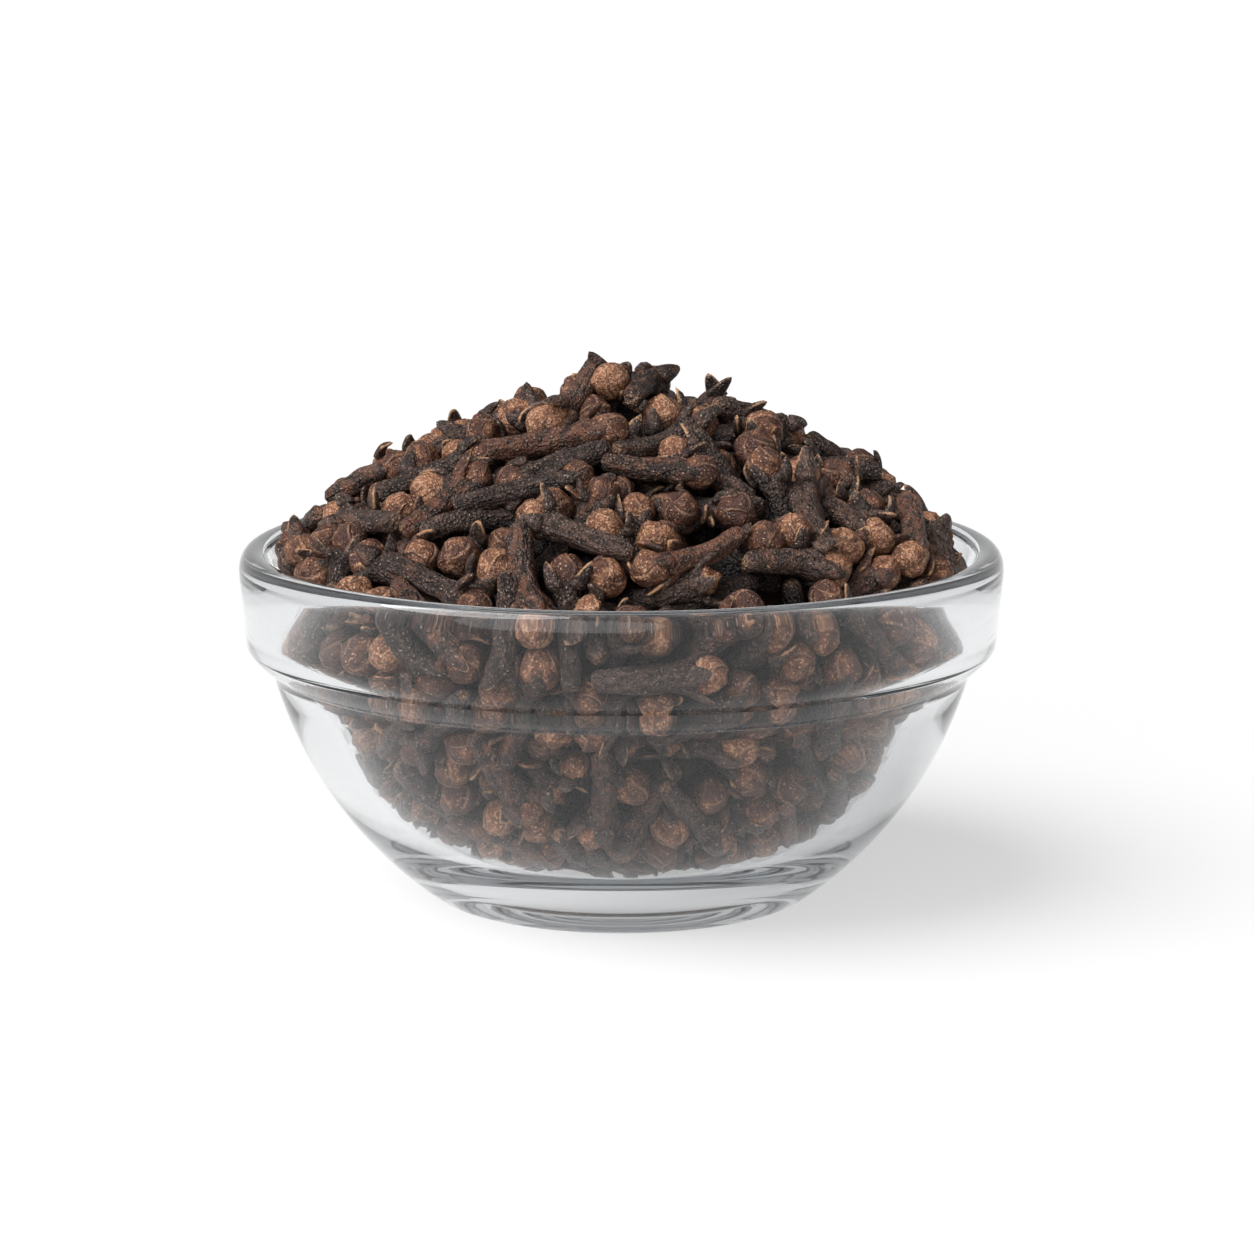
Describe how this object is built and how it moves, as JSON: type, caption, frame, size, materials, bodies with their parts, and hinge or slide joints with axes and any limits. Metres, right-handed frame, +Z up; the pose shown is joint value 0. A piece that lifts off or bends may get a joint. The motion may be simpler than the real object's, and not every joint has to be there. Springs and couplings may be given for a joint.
{
  "type": "bowl of whole cloves",
  "caption": "Clear pressed-glass prep bowl with a thick stacking collar, heaped well above its rim with whole dried cloves.",
  "frame": {"origin": "centre of the bowl's foot, on the surface that the bowl stands on", "axes": "+Z up along the bowl's axis, +X to the right and -Y towards the viewer"},
  "size_m": [0.09, 0.09, 0.0641],
  "materials": {
    "clear_glass": "smooth pressed clear glass",
    "dried_clove": "dry, finely wrinkled, matte"
  },
  "bodies": {
    "root": {"glass_bowl": "clear_glass", "clove_heap": "dried_clove"}
  },
  "joints": []
}
